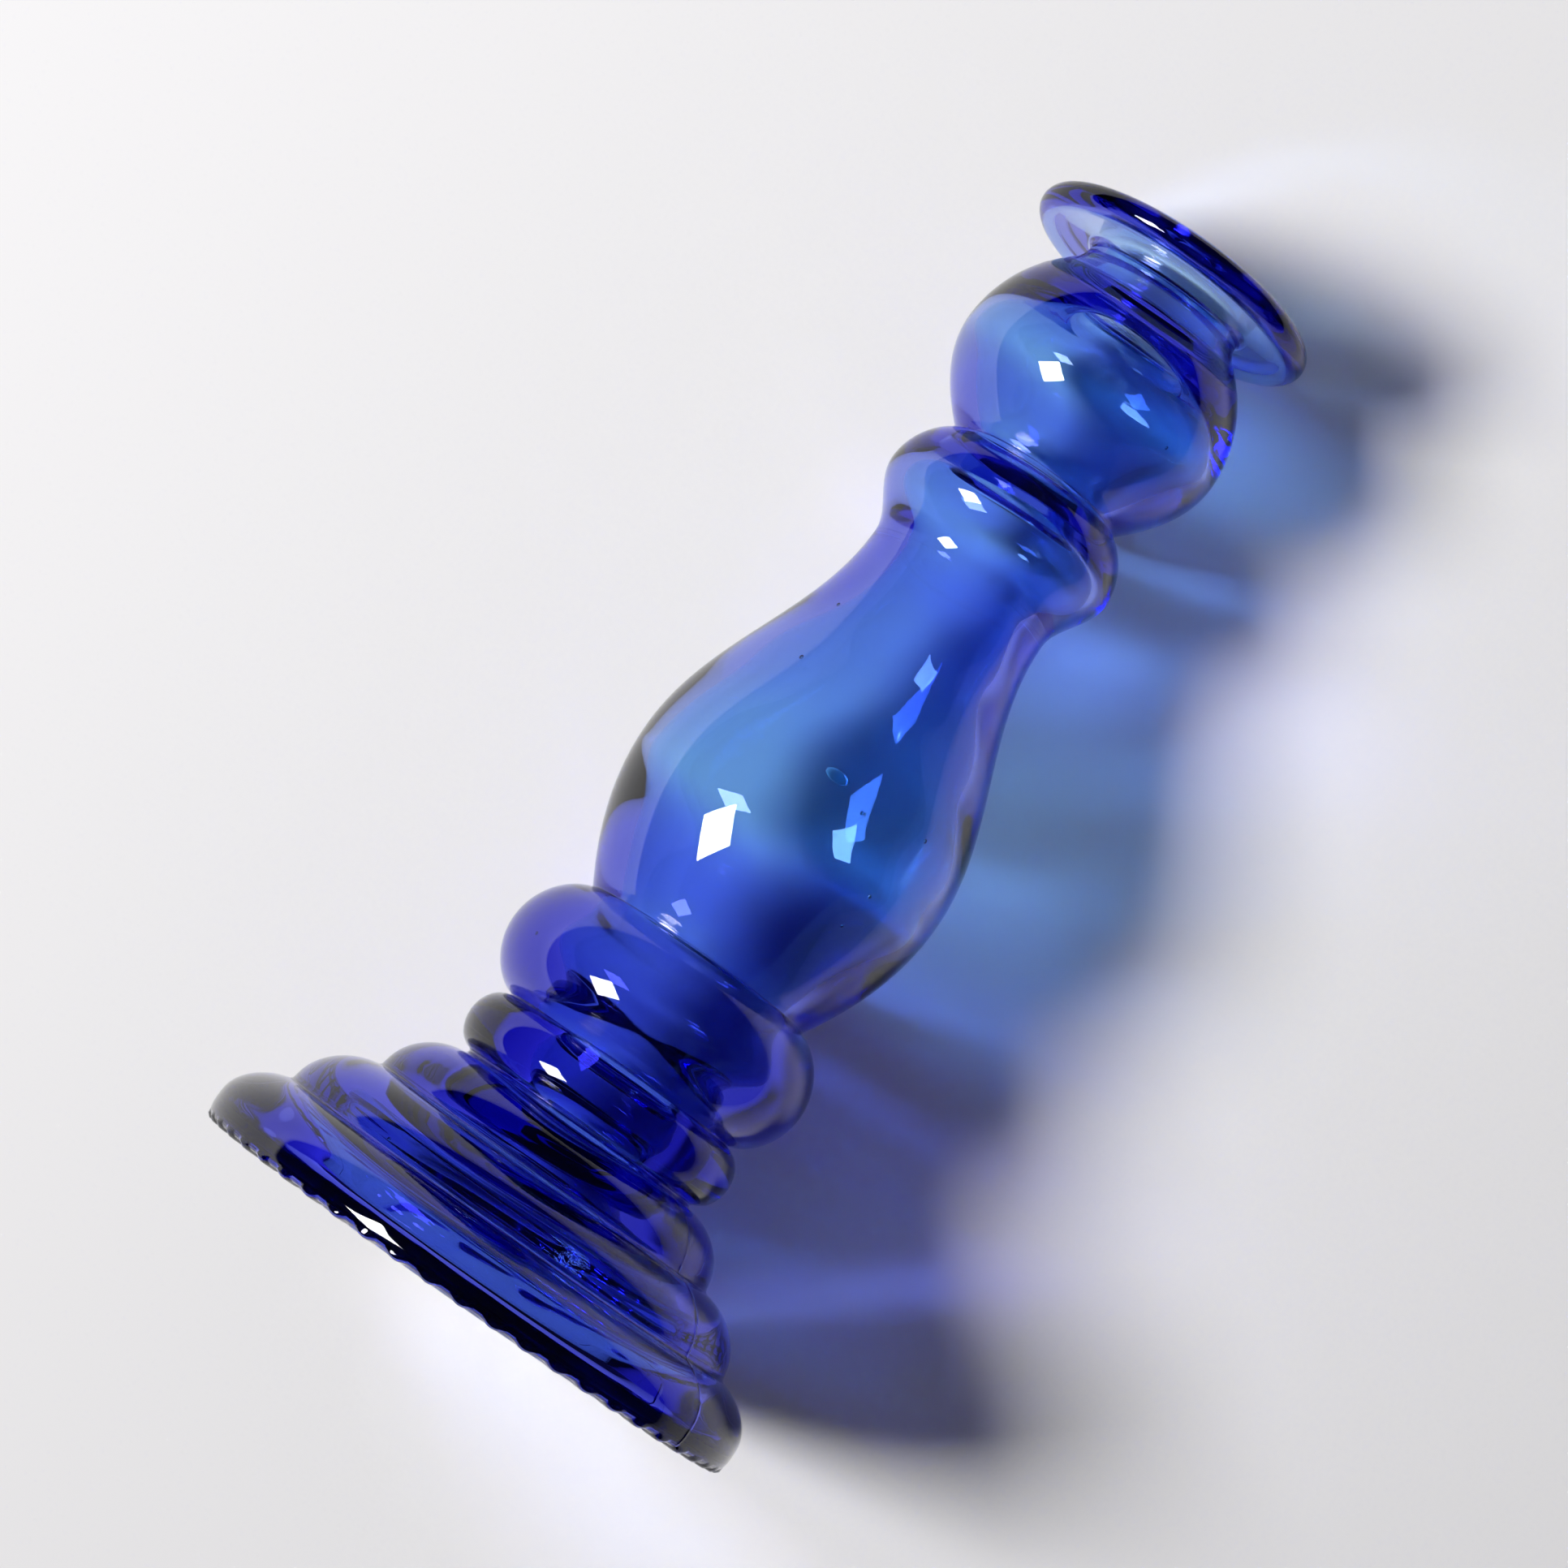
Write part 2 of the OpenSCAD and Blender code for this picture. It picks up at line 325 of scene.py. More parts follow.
# ---------------------------------------------------------------------------
# Faults of hand-finished glass, as heights in millimetres over the smooth surface
# ---------------------------------------------------------------------------
rng = np.random.RandomState(11)
WAVE_LEAST = 0.4     # the lowest that a wave can be, as a share of the highest


def waves(count, height, turns, length):
    """Random waves round and along the glass: (height, times round, per millimetre, phase)."""
    return [(height * rng.uniform(WAVE_LEAST, 1.0) / math.sqrt(count), rng.randint(*turns),
             2 * math.pi * rng.uniform(-1, 1) / length, rng.uniform(0, 2 * math.pi))
            for _ in range(count)]


def straight_waves(count, shortest, longest):
    """Random straight waves over the underside: (direction, per millimetre, phase)."""
    return [(rng.uniform(0, 2 * math.pi), 2 * math.pi / rng.uniform(shortest, longest),
             rng.uniform(0, 2 * math.pi)) for _ in range(count)]


OUTER_WAVES = waves(8, 0.03, (1, 5), 30.0)
INNER_WAVES = waves(10, 0.16, (1, 6), 30.0)
FOLDS = waves(8, 0.2, (1, 4), 2.6)
CHILL_MARKS = straight_waves(6, 6.0, 10.0)
SMALL_WAVES = waves(8, 0.15, (2, 6), 14.0)

# Waves die out towards the axis, the underside of the foot and the hole for the candle
AXIS_CALM, FOOT_CALM, BORE_CALM_Z, BORE_CALM = 8.0, 3.0, 184.0, 4.0
# Inside, folds fade out upwards where small waves begin, and stop short of the floor
FOLDS_TOP, FOLDS_FADE, SMALL_AXIS_CALM = TOP["small_bead"], 12.0, 12.0
FLOOR_CALM_Z, FLOOR_CALM = 3.8, 1.5
CHILL_H, CHILL_FADE = 0.08, 4.0
UNDERSIDE_TOP = RECESS_Z + KICK_H + 0.5   # above every point of the pushed-up underside
SEAM_ANGLES = [math.radians(-37.0), math.radians(143.0)]
SEAM_H, SEAM_HALF_W = 0.10, 0.32
SEAM_TOP, SEAM_FADE, SEAM_IN_R = TOP["upper_step"] - 1.5, 3.0, RECESS_R * 0.5
SEAM_MEAN, SEAM_SWING = 0.65, 0.35        # how much the seam's height comes and goes
SEAM_FAST, SEAM_SLOW, SEAM_SHIFT = 2.1, 0.83, 5      # and how often, in radians per millimetre
PARTING_Z, PARTING_H, PARTING_HALF_W = FOOT_WIDE_Z - 0.6, 0.035, 0.28
# Sections whose upper groove was pressed in by a tool
TOOLED = ["upper_step", "small_bead", "ring_knop", "baluster_stem", "collar_knop"]
TOOL_H, TOOL_PITCH, TOOL_REACH, TOOL_WANDER = 0.012, 1.15, 2.6, 0.6
RIDGE_H, RIDGE_PITCH, RIDGE_START, RIDGE_FADE = 0.03, 1.7, 2.2, 1.0
PAD_LENGTH_SHARE, PAD_POWER = 0.56, 0.8   # length against the pitch, and how square the ends are
PAD_REACH_UP, PAD_FADE, PAD_FADE_R = 0.7, 0.5, STRIP_R + 0.1     # how far up and in the pads begin
BUMP_STEEPNESS = 1.1


def fade(x, start, length):
    """From 0 at the start to 1 at a length further on. A negative length runs the other way."""
    return np.clip((x - start) / length, 0, 1)


def bump(x, half):
    """A smooth bump of height 1 that is near zero past twice its half width."""
    return np.exp(-BUMP_STEEPNESS * (x / half) ** 2)


def angle_off(a, centre):
    """Signed angle from a centre, the short way round."""
    return (a - centre + math.pi) % (2 * math.pi) - math.pi


def wave_sum(group, z, a):
    """Height of a whole group of waves at a height and an angle."""
    return sum(height * np.cos(times * a + per_mm * z + phase)
               for height, times, per_mm, phase in group)


def waviness(r, z, a, outer):
    """Long waves on both sides, and small waves and folds on the inside only."""
    both = outer * wave_sum(OUTER_WAVES, z, a) + ~outer * wave_sum(INNER_WAVES, z, a)
    blown = fade(z, FOLDS_TOP, FOLDS_FADE) * fade(r, 0, SMALL_AXIS_CALM)
    folded = fade(z, FOLDS_TOP, -FOLDS_FADE) * fade(z, FLOOR_CALM_Z, FLOOR_CALM)
    inner = blown * wave_sum(SMALL_WAVES, z, a) + folded * wave_sum(FOLDS, z, a)
    calm = fade(z, 0, FOOT_CALM) * np.where(outer, 1.0, 1.0 - fade(z, BORE_CALM_Z, BORE_CALM))
    return calm * (fade(r, 0, AXIS_CALM) * both + ~outer * inner)


def chill(r, z, a):
    """The hammered look of an underside that has cooled on metal."""
    marks = sum(np.cos(per_mm * r * np.cos(a - way) + phase) for way, per_mm, phase in CHILL_MARKS)
    return CHILL_H * (z < UNDERSIDE_TOP) * fade(r, RECESS_R, -CHILL_FADE) * marks


def seams(r, z, a):
    """The mould's seam, at two opposite sides of the foot and the steps."""
    height = 0.0
    for seam in SEAM_ANGLES:
        across = angle_off(a, seam) * r
        swing = np.cos(SEAM_FAST * z + SEAM_SHIFT * seam) * np.cos(SEAM_SLOW * z)
        height = height + (SEAM_MEAN + SEAM_SWING * swing) * bump(across, SEAM_HALF_W)
    return SEAM_H * fade(z, SEAM_TOP, -SEAM_FADE) * (r > SEAM_IN_R) * height


def parting_line(r, z):
    """The line round the foot where the two heights of the mould met."""
    return PARTING_H * (r > REST_R) * bump(z - PARTING_Z, PARTING_HALF_W)


def tool_marks(z, a):
    """Fine rings in the grooves, left by the tool that pressed them in."""
    height = 0.0
    for groove in [TOP[name] for name in TOOLED]:
        rings = np.cos(2 * math.pi * z / TOOL_PITCH + TOOL_WANDER * np.cos(a + groove))
        height = height + rings * bump(z - groove, TOOL_REACH)
    return TOOL_H * height


def neck_ridges(z):
    """Fine rings up the neck."""
    start, end = TOP["globe_knop"] + RIDGE_START, TOP["candle_socket"]
    on_neck = fade(z, start, RIDGE_FADE) * fade(z, end, -RIDGE_FADE)
    return RIDGE_H * on_neck * np.cos(2 * math.pi * z / RIDGE_PITCH)


def pads(r, z, a):
    """The moulded pads under the foot, evenly spaced."""
    turns = a / (2 * math.pi / PAD_COUNT)
    off_gap = np.abs(turns % 1.0 - 0.5) * 2
    pad = fade(off_gap, 1 - PAD_LENGTH_SHARE, PAD_LENGTH_SHARE)
    under = fade(z, PAD_H + PAD_REACH_UP, -PAD_FADE) * fade(r, PAD_FADE_R, PAD_FADE)
    return under * PAD_H * np.sin(pad * math.pi / 2) ** PAD_POWER


def faults(s, a):
    """Height over the smooth outline at a distance along it and an angle round it."""
    r, z = np.interp(s, S, OUTLINE[:, 0]), np.interp(s, S, OUTLINE[:, 1])
    outer = s < S[TURN]
    low = chill(r, z, a) + seams(r, z, a) + parting_line(r, z) + pads(r, z, a)
    return waviness(r, z, a, outer) + outer * (low + tool_marks(z, a) + neck_ridges(z))


# ---------------------------------------------------------------------------
# Rows and columns of the surface
# ---------------------------------------------------------------------------
CLOSEST, WIDEST, PER_RADIUS = 0.26, 1.0, 0.32   # spacing of rows against the curve's radius
BEND_WINDOW = 15                                # points of the outline that a bend is averaged over
LOOK_ALONG, LOOK_ROUND = 0.06, 0.001            # how far off slopes are read, in mm and radians
LEAST_R = 1.0                                   # slopes round the axis are read at least this far out
PER_PAD = 8
COLUMNS = np.linspace(0, 2 * math.pi, PAD_COUNT * PER_PAD, endpoint=False)
NEAR_SEAM = np.radians([-0.75, -0.5, -0.3, -0.12, 0.12, 0.3, 0.5, 0.75])
SEAM_COLUMNS = [(seam + NEAR_SEAM) % (2 * math.pi) for seam in SEAM_ANGLES]
ANGLES = np.unique(np.concatenate([COLUMNS] + SEAM_COLUMNS))


def surface(rows):
    """Points and outward directions of the glass over rows of the outline and every angle."""
    s, a = np.asarray(rows)[:, None], ANGLES[None, :]

    def line(at):
        return np.interp(at, S, OUTLINE[:, 0]), np.interp(at, S, OUTLINE[:, 1])

    (r0, z0), (r1, z1), (r, z) = line(s - LOOK_ALONG), line(s + LOOK_ALONG), line(s)
    length = np.maximum(np.hypot(r1 - r0, z1 - z0), 1e-9)
    ahead_r, ahead_z = (r1 - r0) / length, (z1 - z0) / length
    out_r, out_z = ahead_z, -ahead_r
    height = faults(s, a)
    slope = (faults(s + LOOK_ALONG, a) - faults(s - LOOK_ALONG, a)) / (2 * LOOK_ALONG)
    slope_round = (faults(s, a + LOOK_ROUND) - faults(s, a - LOOK_ROUND)) / (2 * LOOK_ROUND)
    slope_round = slope_round / np.maximum(r, LEAST_R)
    cos, sin = np.cos(a), np.sin(a)
    far_r, far_z = r + out_r * height, z + out_z * height
    points = np.stack(np.broadcast_arrays(far_r * cos, far_r * sin, far_z), -1)
    tip_r, tip_z = out_r - slope * ahead_r, out_z - slope * ahead_z
    tip_x, tip_y = tip_r * cos + slope_round * sin, tip_r * sin - slope_round * cos
    normals = np.stack(np.broadcast_arrays(tip_x, tip_y, tip_z), -1)
    return points, normals / np.linalg.norm(normals, axis=-1, keepdims=True)


def s_rows(s_from, s_to):
    """Distances along the outline, closer together where the glass bends tightly."""
    direction = np.gradient(OUTLINE, S, axis=0)
    bend = np.hypot(*np.gradient(direction, S, axis=0).T)
    bend = np.convolve(bend, np.ones(BEND_WINDOW) / BEND_WINDOW, "same")
    spacing = np.clip(np.sqrt(PER_RADIUS / np.maximum(bend, 1e-6)), CLOSEST, WIDEST)
    between = (S > s_from) & (S < s_to)
    s = np.concatenate([[s_from], S[between], [s_to]])
    count = np.concatenate([[0], np.cumsum(np.diff(s) / np.interp(s[1:], S, spacing))])
    n = max(4, int(math.ceil(count[-1])))
    return np.interp(np.linspace(0, count[-1], n + 1), count, s)


def runs(name):
    """The stretches of outline that bound a section, in order round its cross section."""
    at = cuts()
    if name == SECTIONS[0]:
        return [(0.0, at[name][0]), (at[name][1], S[-1])]
    below = at[SECTIONS[SECTIONS.index(name) - 1]]
    if name == SECTIONS[-1]:
        return [(below[0], below[1])]
    return [(below[0], at[name][0]), (at[name][1], below[1])]


# ---------------------------------------------------------------------------
# Seeds: small closed bubbles in the wall
# ---------------------------------------------------------------------------
BUBBLE_RINGS, BUBBLE_SPOKES = 12, 24
FRONT = -90.0        # degrees: the side that faces the viewer
# Height, angle from the front in degrees, then the bubble's width, height, thickness and depth
SEEDS = [
    (97.0, 2.5, 4.1, 2.0, 0.22, 0.5),
    (110.0, -38.0, 0.6, 0.8, 0.5, 1.4),
    (121.0, -49.0, 0.5, 0.7, 0.5, 1.2),
    (85.5, 36.0, 0.5, 0.6, 0.5, 1.5),
    (79.5, 35.0, 0.5, 0.6, 0.4, 1.3),
    (97.5, 43.0, 0.6, 0.7, 0.5, 1.6),
    (170.5, 37.0, 0.5, 0.6, 0.4, 1.2),
    (13.5, -34.0, 0.6, 0.5, 0.4, 1.5),
    (52.0, -57.0, 0.5, 0.6, 0.4, 1.3),
    (104.0, 158.0, 0.6, 0.8, 0.5, 1.5),
    (70.0, -140.0, 0.5, 0.7, 0.4, 1.3),
    (172.0, 120.0, 0.5, 0.5, 0.4, 1.2),
    (50.0, 95.0, 0.6, 0.6, 0.4, 1.5),
]


def bubble(height, angle, width, tall, thick, depth):
    """Points, directions and faces of a small hollow whose faces look into it."""
    s = crossing(height, 1, "outside")
    r = float(np.interp(s, S, OUTLINE[:, 0])) - depth
    a = math.radians(angle + FRONT)
    out = np.array([math.cos(a), math.sin(a), 0.0])
    side = np.array([-math.sin(a), math.cos(a), 0.0])
    up = np.array([0.0, 0.0, 1.0])
    rings, spokes = BUBBLE_RINGS, BUBBLE_SPOKES
    lat = np.linspace(-math.pi / 2, math.pi / 2, rings + 1)[:, None]
    lon = np.linspace(0, 2 * math.pi, spokes, endpoint=False)[None, :]
    ball = np.stack(np.broadcast_arrays(np.cos(lat) * np.cos(lon), np.cos(lat) * np.sin(lon),
                                        np.sin(lat)), -1)
    ball = np.concatenate([ball[0, :1], ball[1:-1].reshape(-1, 3), ball[-1, :1]])
    half = np.array([thick, width, tall]) / 2
    axes = np.stack([out, side, up])
    points = r * out + height * up + (ball * half) @ axes
    directions = -(ball / half) @ axes
    directions /= np.linalg.norm(directions, axis=1, keepdims=True)
    last = len(ball) - 1
    faces = []
    for k in range(spokes):
        n = (k + 1) % spokes
        faces.append([0, 1 + k, 1 + n])
        faces.append([last, last - spokes + n, last - spokes + k])
        for ring in range(rings - 2):
            first = 1 + ring * spokes
            faces.append([first + k, first + spokes + k, first + spokes + n])
            faces.append([first + k, first + spokes + n, first + n])
    return points, directions, np.array(faces)


# ---------------------------------------------------------------------------
# Meshes
# ---------------------------------------------------------------------------
JOINT_GAP = 0.02     # hair line between two sections, filled with air
ON_AXIS = 1e-6       # a row nearer to the axis than this is a single point


def open_joints(name, points, ends):
    """Draw the cut edges of a section back by half the hair line."""
    gap = JOINT_GAP / 2
    first, last, middle = 0, ends[-1], [ends[0], ends[0] + 1]
    if name == SECTIONS[0]:
        points[middle, :, :2] *= 1 - gap / FLOOR_R
        return
    if name == SECTIONS[1]:
        points[[first, last], :, :2] *= 1 + gap / FLOOR_R
    else:
        points[[first, last], :, 2] += gap
    if len(ends) == 2:
        points[middle, :, 2] -= gap


def band(lower, upper, points):
    """Faces between two rows of point numbers, as triangles where a row lies on the axis."""
    lower_next, upper_next = np.roll(lower, -1), np.roll(upper, -1)
    if points[lower[0], 0] < ON_AXIS:
        return np.stack([np.full(len(lower), lower[0]), upper_next, upper], 1)
    if points[upper[0], 0] < ON_AXIS:
        return np.stack([lower, lower_next, np.full(len(upper), upper[0])], 1)
    return np.stack([lower, lower_next, upper_next, upper], 1)


def flat_directions(points, faces):
    """The direction of each flat face, once for each of its corners."""
    corners = points[faces]
    across = np.cross(corners[:, 1] - corners[:, 0], corners[:, -1] - corners[:, 0])
    across /= np.maximum(np.linalg.norm(across, axis=1, keepdims=True), 1e-12)
    return np.repeat(across, faces.shape[1], axis=0)


def section_mesh(name):
    """One closed mesh: the stretches of surface, joined by flat faces where the section was cut."""
    stretches = [surface(s_rows(s_from, s_to)) for s_from, s_to in runs(name)]
    ends = [int(end) - 1 for end in np.cumsum([len(points) for points, _ in stretches])]
    points = np.concatenate([points for points, _ in stretches])
    normals = np.concatenate([normals for _, normals in stretches])
    open_joints(name, points, ends)
    rows, columns = points.shape[:2]
    points, normals = points.reshape(-1, 3), normals.reshape(-1, 3)
    grid = np.arange(rows * columns).reshape(rows, columns)
    pairs = [(k, k + 1, k in ends) for k in range(rows - 1)]
    if name != SECTIONS[0]:
        pairs.append((rows - 1, 0, True))
    faces, loop_normals, joint = [], [], []
    for low, high, is_joint in pairs:
        strip = band(grid[low], grid[high], points)
        faces.append(strip)
        joint.append(np.full(len(strip), float(is_joint)))
        loop_normals.append(flat_directions(points, strip) if is_joint else normals[strip.ravel()])
    for seed in [seed for seed in SEEDS if LOW[name] < seed[0] < TOP[name]]:
        spot, spot_normals, spot_faces = bubble(*seed)
        faces.append(spot_faces + len(points))
        points = np.concatenate([points, spot])
        joint.append(np.zeros(len(spot_faces)))
        loop_normals.append(spot_normals[spot_faces.ravel()])
    return mesh_from(name, points * MM, faces, np.concatenate(loop_normals), np.concatenate(joint))


def mesh_from(name, vertices, faces, loop_normals, joint):
    """A Blender mesh from blocks of faces, without the vertices that no face uses."""
    loops = np.concatenate([block.ravel() for block in faces])
    totals = np.concatenate([np.full(len(block), block.shape[1]) for block in faces])
    used, loops = np.unique(loops, return_inverse=True)
    vertices = vertices[used]
    starts = np.concatenate([[0], np.cumsum(totals)[:-1]])
    mesh = bpy.data.meshes.new(name)
    mesh.vertices.add(len(vertices))
    mesh.vertices.foreach_set("co", vertices.astype(np.float32).ravel())
    mesh.loops.add(len(loops))
    mesh.loops.foreach_set("vertex_index", loops.astype(np.int32))
    mesh.polygons.add(len(totals))
    mesh.polygons.foreach_set("loop_start", starts.astype(np.int32))
    mesh.polygons.foreach_set("loop_total", totals.astype(np.int32))
    mesh.update(calc_edges=True)
    mesh.polygons.foreach_set("use_smooth", np.ones(len(totals), dtype=bool))
    tag = mesh.attributes.new("joint", "FLOAT", "FACE")
    tag.data.foreach_set("value", joint.astype(np.float32))
    mesh.normals_split_custom_set(loop_normals.tolist())
    return mesh


def new_object(name, data):
    """An object in the scene that shows the data."""
    made = bpy.data.objects.new(name, data)
    bpy.context.scene.collection.objects.link(made)
    return made


# ---------------------------------------------------------------------------
# Glass
# ---------------------------------------------------------------------------
GLASS_IOR, NO_BEND = 1.5, 1.0
ABSORPTION_COLOUR = (0.30, 0.20, 0.87, 1.0)
ABSORPTION_DENSITY = 200.0      # per metre
SURFACE_TINT = (0.58, 0.97, 1.0, 1.0)
NO_TINT = (1.0, 1.0, 1.0, 1.0)


def cobalt_glass():
    """Clear blue glass. The faces where a section was cut bend no light, so they don't show."""
    material = bpy.data.materials.new("cobalt_glass")
    material.use_nodes = True
    nodes, links = material.node_tree.nodes, material.node_tree.links
    nodes.clear()
    out = nodes.new("ShaderNodeOutputMaterial")
    glass = nodes.new("ShaderNodeBsdfPrincipled")
    glass.inputs["Base Color"].default_value = SURFACE_TINT
    glass.inputs["Roughness"].default_value = 0.0
    glass.inputs["Transmission Weight"].default_value = 1.0
    glass.inputs["IOR"].default_value = GLASS_IOR
    links.new(glass.outputs["BSDF"], out.inputs["Surface"])

    joint = nodes.new("ShaderNodeAttribute")
    joint.attribute_name = "joint"
    ior = nodes.new("ShaderNodeMapRange")
    ior.inputs["To Min"].default_value = GLASS_IOR
    ior.inputs["To Max"].default_value = NO_BEND
    links.new(joint.outputs["Fac"], ior.inputs["Value"])
    links.new(ior.outputs["Result"], glass.inputs["IOR"])
    tint = nodes.new("ShaderNodeMix")
    tint.data_type = "RGBA"
    tint.inputs["A"].default_value = SURFACE_TINT
    tint.inputs["B"].default_value = NO_TINT
    links.new(joint.outputs["Fac"], tint.inputs["Factor"])
    links.new(tint.outputs["Result"], glass.inputs["Base Color"])

    depth = nodes.new("ShaderNodeVolumeAbsorption")
    depth.inputs["Color"].default_value = ABSORPTION_COLOUR
    depth.inputs["Density"].default_value = ABSORPTION_DENSITY
    links.new(depth.outputs["Volume"], out.inputs["Volume"])
    return material


GLASS = cobalt_glass()
for section in SECTIONS:
    piece = new_object("glass_" + section, section_mesh(section))
    piece.data.materials.append(GLASS)
    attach(piece, "root")
    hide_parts(section)

# ---------------------------------------------------------------------------
# Stage, in metres: the candlestick lies on a pale table and is seen from above it
# ---------------------------------------------------------------------------
TILT = math.radians(6.83)       # with this lean, foot ring and pan are both within 0.5 mm of the table
TURN_IN_PICTURE = math.radians(35.2)
TOWARDS_VIEWER = Vector((0.0, -math.cos(TILT), -math.sin(TILT)))
ALONG = Vector((0.0, -math.sin(TILT), math.cos(TILT)))
ACROSS = Vector((1.0, 0.0, 0.0))
PICTURE_RIGHT = ACROSS * math.cos(TURN_IN_PICTURE) + ALONG * math.sin(TURN_IN_PICTURE)
PICTURE_UP = ALONG * math.cos(TURN_IN_PICTURE) - ACROSS * math.sin(TURN_IN_PICTURE)
MIDDLE_ALONG = TOP["drip_pan"] * MM / 2

TABLE_HALF = 3.0
TABLE_GAP = 0.1 * MM            # between the table and the smooth outline
TABLE_ROUGHNESS = 0.9
# The table's base colour runs from dark to pale across it: painted shade for light that falls off
# unevenly
PAINTED_SHADE_DARK, PAINTED_SHADE_PALE = 0.81, 0.96
PAINTED_SHADE_RIGHT, PAINTED_SHADE_UP, PAINTED_SHADE_REACH = 0.4, 0.9, 0.17      # the way it runs in the picture, and how far

LIGHT_WAY = (-0.62, -0.25, 0.74)                         # across, along, towards the viewer
LIGHT_DISTANCE, LIGHT_SIDE, LIGHT_POWER = 1.9, 0.62, 42.0     # metres, metres, watts
LIGHT_COLOUR = (1.0, 0.985, 0.99)

ROOM_IN_GLASS = (0.012, 0.012, 0.014, 1)                 # what shows in and through the glass
ROOM_BEHIND = (0.80, 0.80, 0.80, 1)                      # what the camera sees past the table
ROOM_FILL = (0.078, 0.078, 0.086, 1)                     # what lights the table's shadows

CAMERA_AT = Vector((-4.8, -613.8, 21.1)) * MM            # in the candlestick's own frame
SENSOR_WIDTH, LENS = 36.0, 89.441                        # millimetres


def place(across, along_it, towards):
    """A point from its distances across and along the candlestick and towards the viewer."""
    return ACROSS * across + ALONG * along_it + TOWARDS_VIEWER * towards


def turned(x_axis, y_axis, z_axis, centre):
    """The place and turn of an object, from its axes and its centre."""
    matrix = Matrix((x_axis, y_axis, z_axis)).transposed().to_4x4()
    matrix.translation = centre
    return matrix


def table_top():
    """Matt and pale, clear from below. The light is uneven, so its base colour is painted darker one
    way, as painted shade.
    """
    material = bpy.data.materials.new("table_top")
    material.use_nodes = True
    nodes, links = material.node_tree.nodes, material.node_tree.links
    white = nodes["Principled BSDF"]
    white.inputs["Roughness"].default_value = TABLE_ROUGHNESS
    white.inputs["Specular IOR Level"].default_value = 0.0

    # Painted shade: the base colour runs from dark to pale one way across the table
    where = nodes.new("ShaderNodeTexCoord")
    run = nodes.new("ShaderNodeVectorMath")
    run.operation = "DOT_PRODUCT"
    way = PICTURE_RIGHT * PAINTED_SHADE_RIGHT + PICTURE_UP * PAINTED_SHADE_UP
    run.inputs[1].default_value = (way.dot(ACROSS), way.dot(ALONG), 0.0)
    shade = nodes.new("ShaderNodeMapRange")
    shade.inputs["From Min"].default_value = -PAINTED_SHADE_REACH
    shade.inputs["From Max"].default_value = PAINTED_SHADE_REACH
    shade.inputs["To Min"].default_value = PAINTED_SHADE_DARK
    shade.inputs["To Max"].default_value = PAINTED_SHADE_PALE
    links.new(where.outputs["Object"], run.inputs[0])
    links.new(run.outputs["Value"], shade.inputs["Value"])
    links.new(shade.outputs["Result"], white.inputs["Base Color"])

    side = nodes.new("ShaderNodeNewGeometry")
    clear = nodes.new("ShaderNodeBsdfTransparent")
    choose = nodes.new("ShaderNodeMixShader")
    links.new(side.outputs["Backfacing"], choose.inputs[0])
    links.new(white.outputs["BSDF"], choose.inputs[1])
    links.new(clear.outputs["BSDF"], choose.inputs[2])
    links.new(choose.outputs["Shader"], nodes["Material Output"].inputs["Surface"])
    return material


def add_table():
    """The square table that the candlestick lies on, just below its outline's lowest point."""
    reach = OUTLINE[:, 0] * math.cos(TILT) + OUTLINE[:, 1] * math.sin(TILT)
    depth = float(reach.max()) * MM + TABLE_GAP
    mesh = bpy.data.meshes.new("table")
    signs = [(-1, -1), (1, -1), (1, 1), (-1, 1)]
    corners = [(x * TABLE_HALF, y * TABLE_HALF, 0) for x, y in signs]
    mesh.from_pydata(corners, [], [(0, 1, 2, 3)])
    mesh.materials.append(table_top())
    made = new_object("table", mesh)
    made.matrix_world = turned(ACROSS, ALONG, TOWARDS_VIEWER, place(0, MIDDLE_ALONG, -depth))
    return made


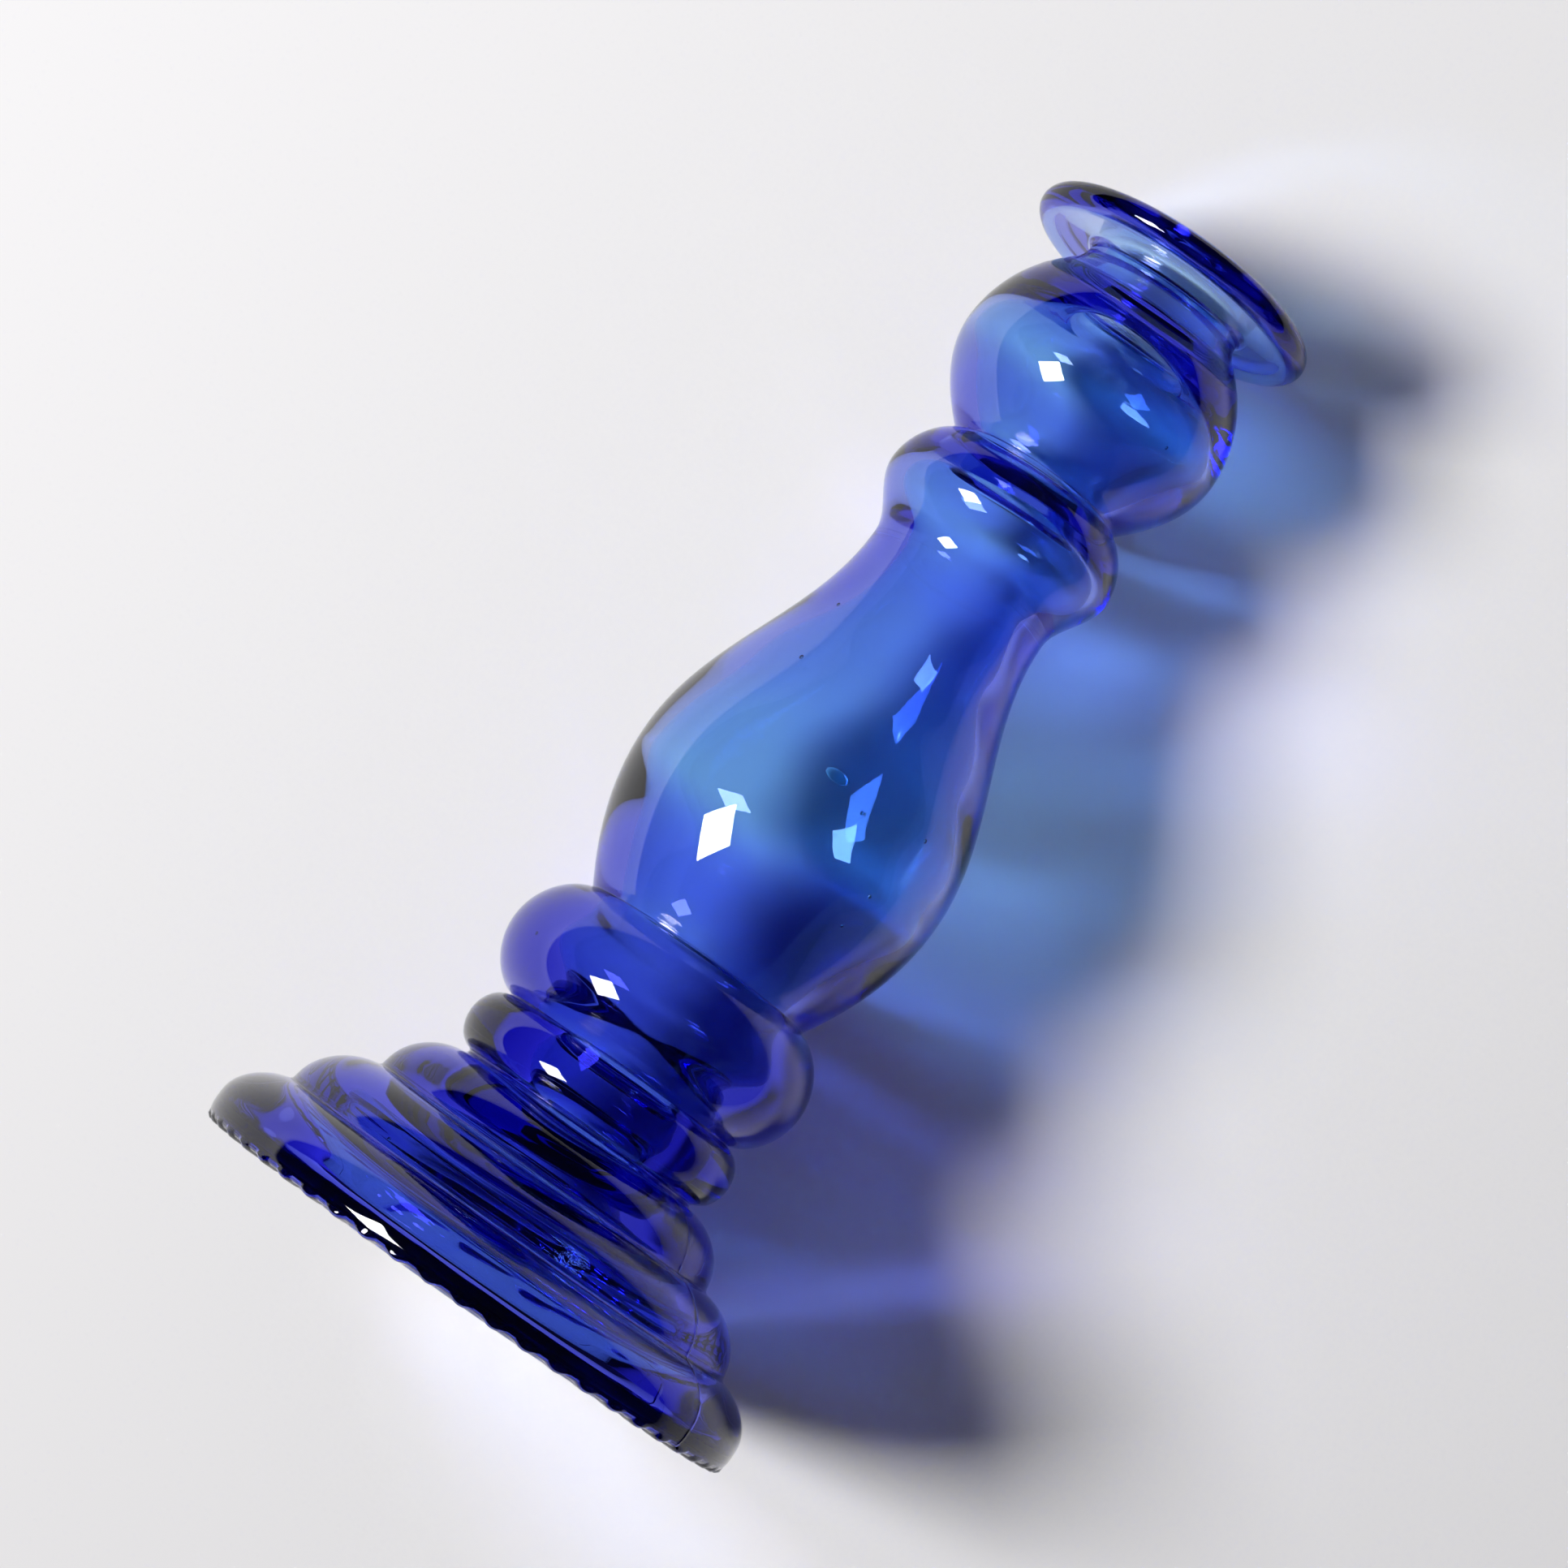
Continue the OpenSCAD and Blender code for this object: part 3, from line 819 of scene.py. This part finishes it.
def add_window():
    """The square window that lights the table and shows in the highlights as a diamond."""
    data = bpy.data.lights.new("window", "AREA")
    data.shape = "SQUARE"
    data.size = LIGHT_SIDE
    data.energy = LIGHT_POWER
    data.color = LIGHT_COLOUR
    way = place(*LIGHT_WAY).normalized()
    x_axis = (PICTURE_RIGHT - way * PICTURE_RIGHT.dot(way)).normalized()
    centre = place(0, MIDDLE_ALONG, 0) + way * LIGHT_DISTANCE
    new_object("window", data).matrix_world = turned(x_axis, way.cross(x_axis), way, centre)


def add_room():
    """A room that is dark in and through the glass, pale past the table, and fills its shadows."""
    world = bpy.data.worlds.new("room")
    bpy.context.scene.world = world
    world.use_nodes = True
    nodes, links = world.node_tree.nodes, world.node_tree.links
    rays = nodes.new("ShaderNodeLightPath")
    seen = nodes.new("ShaderNodeMix")
    seen.data_type = "RGBA"
    seen.inputs["A"].default_value = ROOM_IN_GLASS
    seen.inputs["B"].default_value = ROOM_BEHIND
    fill = nodes.new("ShaderNodeMix")
    fill.data_type = "RGBA"
    fill.inputs["B"].default_value = ROOM_FILL
    links.new(rays.outputs["Is Camera Ray"], seen.inputs["Factor"])
    links.new(seen.outputs["Result"], fill.inputs["A"])
    links.new(rays.outputs["Is Diffuse Ray"], fill.inputs["Factor"])
    links.new(fill.outputs["Result"], nodes["Background"].inputs["Color"])


def add_camera():
    """The camera looks straight down on the table, with the candlestick turned in the picture."""
    data = bpy.data.cameras.new("camera")
    data.sensor_width = SENSOR_WIDTH
    data.lens = LENS
    camera = new_object("camera", data)
    camera.matrix_world = turned(PICTURE_RIGHT, PICTURE_UP, TOWARDS_VIEWER, CAMERA_AT)
    bpy.context.scene.camera = camera


def set_light_paths():
    """Enough bounces for light to pass through many walls of glass, and plain colours."""
    bpy.context.scene.view_settings.view_transform = "Standard"
    cycles = bpy.context.scene.cycles
    cycles.max_bounces = 48
    cycles.transmission_bounces = 48
    cycles.glossy_bounces = 16
    cycles.transparent_max_bounces = 32
    cycles.blur_glossy = 0.05
    cycles.sample_clamp_indirect = 0.0


table = add_table()
add_window()
add_room()
add_camera()
set_light_paths()
